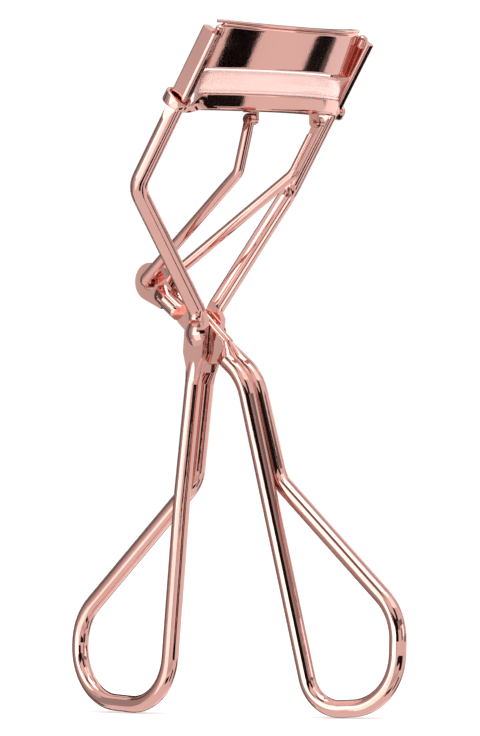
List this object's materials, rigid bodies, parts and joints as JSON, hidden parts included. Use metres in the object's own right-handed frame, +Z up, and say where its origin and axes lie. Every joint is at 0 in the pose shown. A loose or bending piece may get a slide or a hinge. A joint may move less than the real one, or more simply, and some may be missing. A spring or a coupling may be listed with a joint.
{
  "type": "eyelash curler",
  "caption": "Scissor-action eyelash curler: bent-wire frame and lever with open finger loops, bowed lash plate, and a padded lower jaw that rides two rails.",
  "frame": {"origin": "centre of the bounding box in X and Y, on the plane that both finger loops stand on", "axes": "+Z up, from the finger loops to the lash plate; X along the pivot axis and the width of the jaw; -Y is the front, which the bowed lash plate faces"},
  "size_m": [0.0392, 0.0664, 0.103],
  "materials": {
    "rose_gold_frame": "polished rose-gold plating",
    "rose_gold_lever": "polished rose-gold plating",
    "rose_gold_sheet": "polished rose-gold plating",
    "rose_gold_fittings": "polished rose-gold plating",
    "silicone_pad": "soft satin silicone"
  },
  "bodies": {
    "frame": {"frame_wire": "rose_gold_frame", "main_rivet": "rose_gold_fittings", "lash_plate": "rose_gold_sheet", "plate_weld_near": "rose_gold_fittings", "plate_weld_far": "rose_gold_fittings"},
    "lever": {"lever_wire": "rose_gold_lever"},
    "jaw": {"lower_jaw": "rose_gold_sheet", "lash_pad": "silicone_pad", "lug_near": "rose_gold_fittings", "lug_far": "rose_gold_fittings", "lug_pin_near": "rose_gold_fittings", "lug_pin_far": "rose_gold_fittings"},
    "fork": {"push_fork": "rose_gold_fittings"}
  },
  "joints": [
    {"name": "lever_pivot", "type": "hinge", "parent": "frame", "child": "lever", "pos_m": [0, 0.00203, 0.05778], "axis": [-1, 0, 0], "range_deg": [0, 33]},
    {"name": "jaw_slide", "type": "slide", "parent": "frame", "child": "jaw", "axis": [0, 0.5962, -0.8029], "range_m": [0, 0.00705]},
    {"name": "fork_pivot", "type": "hinge", "parent": "jaw", "child": "fork", "pos_m": [0, -0.01516, 0.08861], "axis": [-1, 0, 0], "range_deg": [0, 2.36]}
  ],
  "couplings": [
    {"joint": "jaw_slide", "follows": "lever_pivot", "m_per_rad": 0.012201},
    {"joint": "fork_pivot", "follows": "lever_pivot", "ratio": 0.0701}
  ]
}
